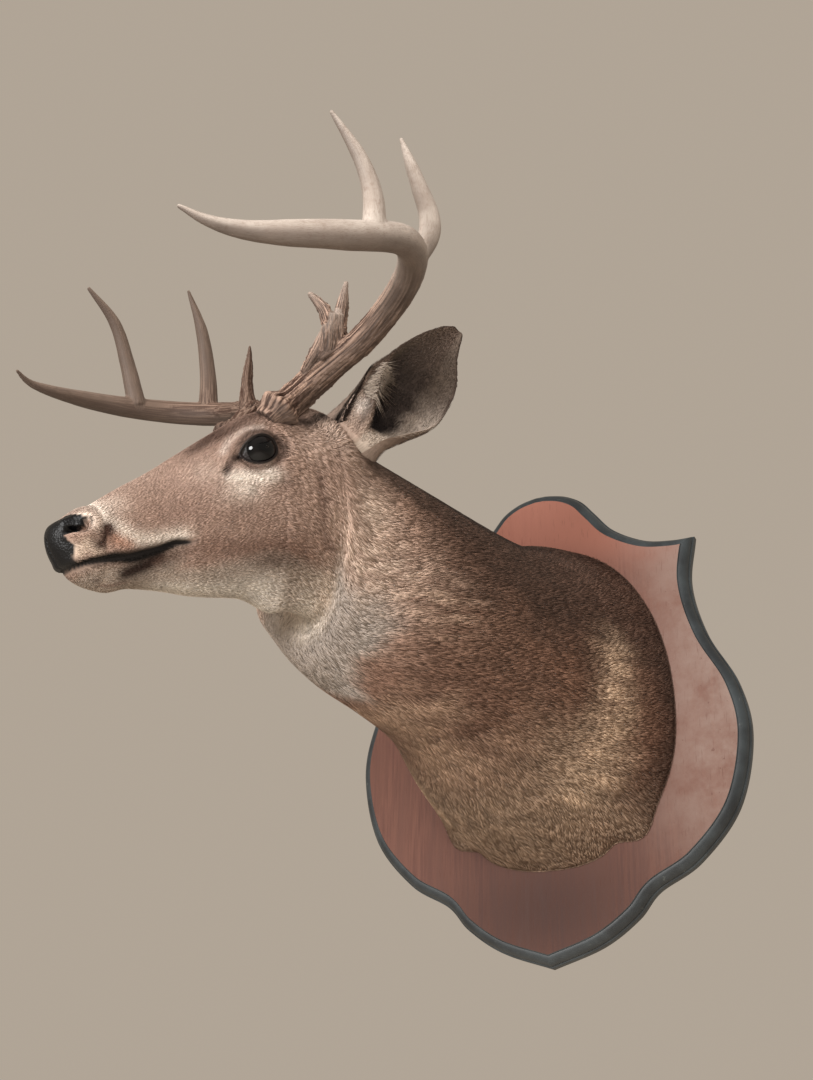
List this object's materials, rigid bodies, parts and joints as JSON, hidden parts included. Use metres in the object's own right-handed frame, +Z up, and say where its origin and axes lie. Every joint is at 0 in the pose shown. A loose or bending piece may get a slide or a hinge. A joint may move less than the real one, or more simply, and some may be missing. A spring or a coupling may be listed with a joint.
{
  "type": "deer shoulder mount",
  "caption": "Life-size shoulder mount of a white-tailed buck, head turned to its right, on a shield-shaped mahogany wall plaque with a dark moulded edge.",
  "frame": {"origin": "centre of the plaque's flat back face", "axes": "+Z up the wall, +Y out of the plaque's back into the wall, the deer looks out along -Y, +X is the deer's left"},
  "size_m": [0.5907, 0.6434, 0.6702],
  "materials": {
    "mahogany": "red-brown stained wood with a near-black moulded edge, satin",
    "coat": "short brown winter deer coat, paler on face, throat and brisket",
    "antler": "antler bone: brown and pearled at the base, smooth grey ivory above",
    "eye_glass": "very dark brown polished glass eye"
  },
  "bodies": {
    "root": {"plaque_board": "mahogany", "shoulders": "coat", "neck_rear": "coat", "neck_front": "coat", "head_skull": "coat", "head_muzzle": "coat", "head_jaw": "coat", "eye_left": "eye_glass", "eye_right": "eye_glass", "ear_left": "coat", "ear_right": "coat", "antler_left_base": "antler", "antler_left_beam_lower": "antler", "antler_left_beam_upper": "antler", "antler_left_beam_tip": "antler", "antler_left_tine_brow": "antler", "antler_left_tine_second": "antler", "antler_left_tine_third": "antler", "antler_right_base": "antler", "antler_right_beam_lower": "antler", "antler_right_beam_upper": "antler", "antler_right_beam_tip": "antler", "antler_right_tine_brow": "antler", "antler_right_tine_second": "antler", "antler_right_tine_third": "antler"}
  },
  "joints": []
}
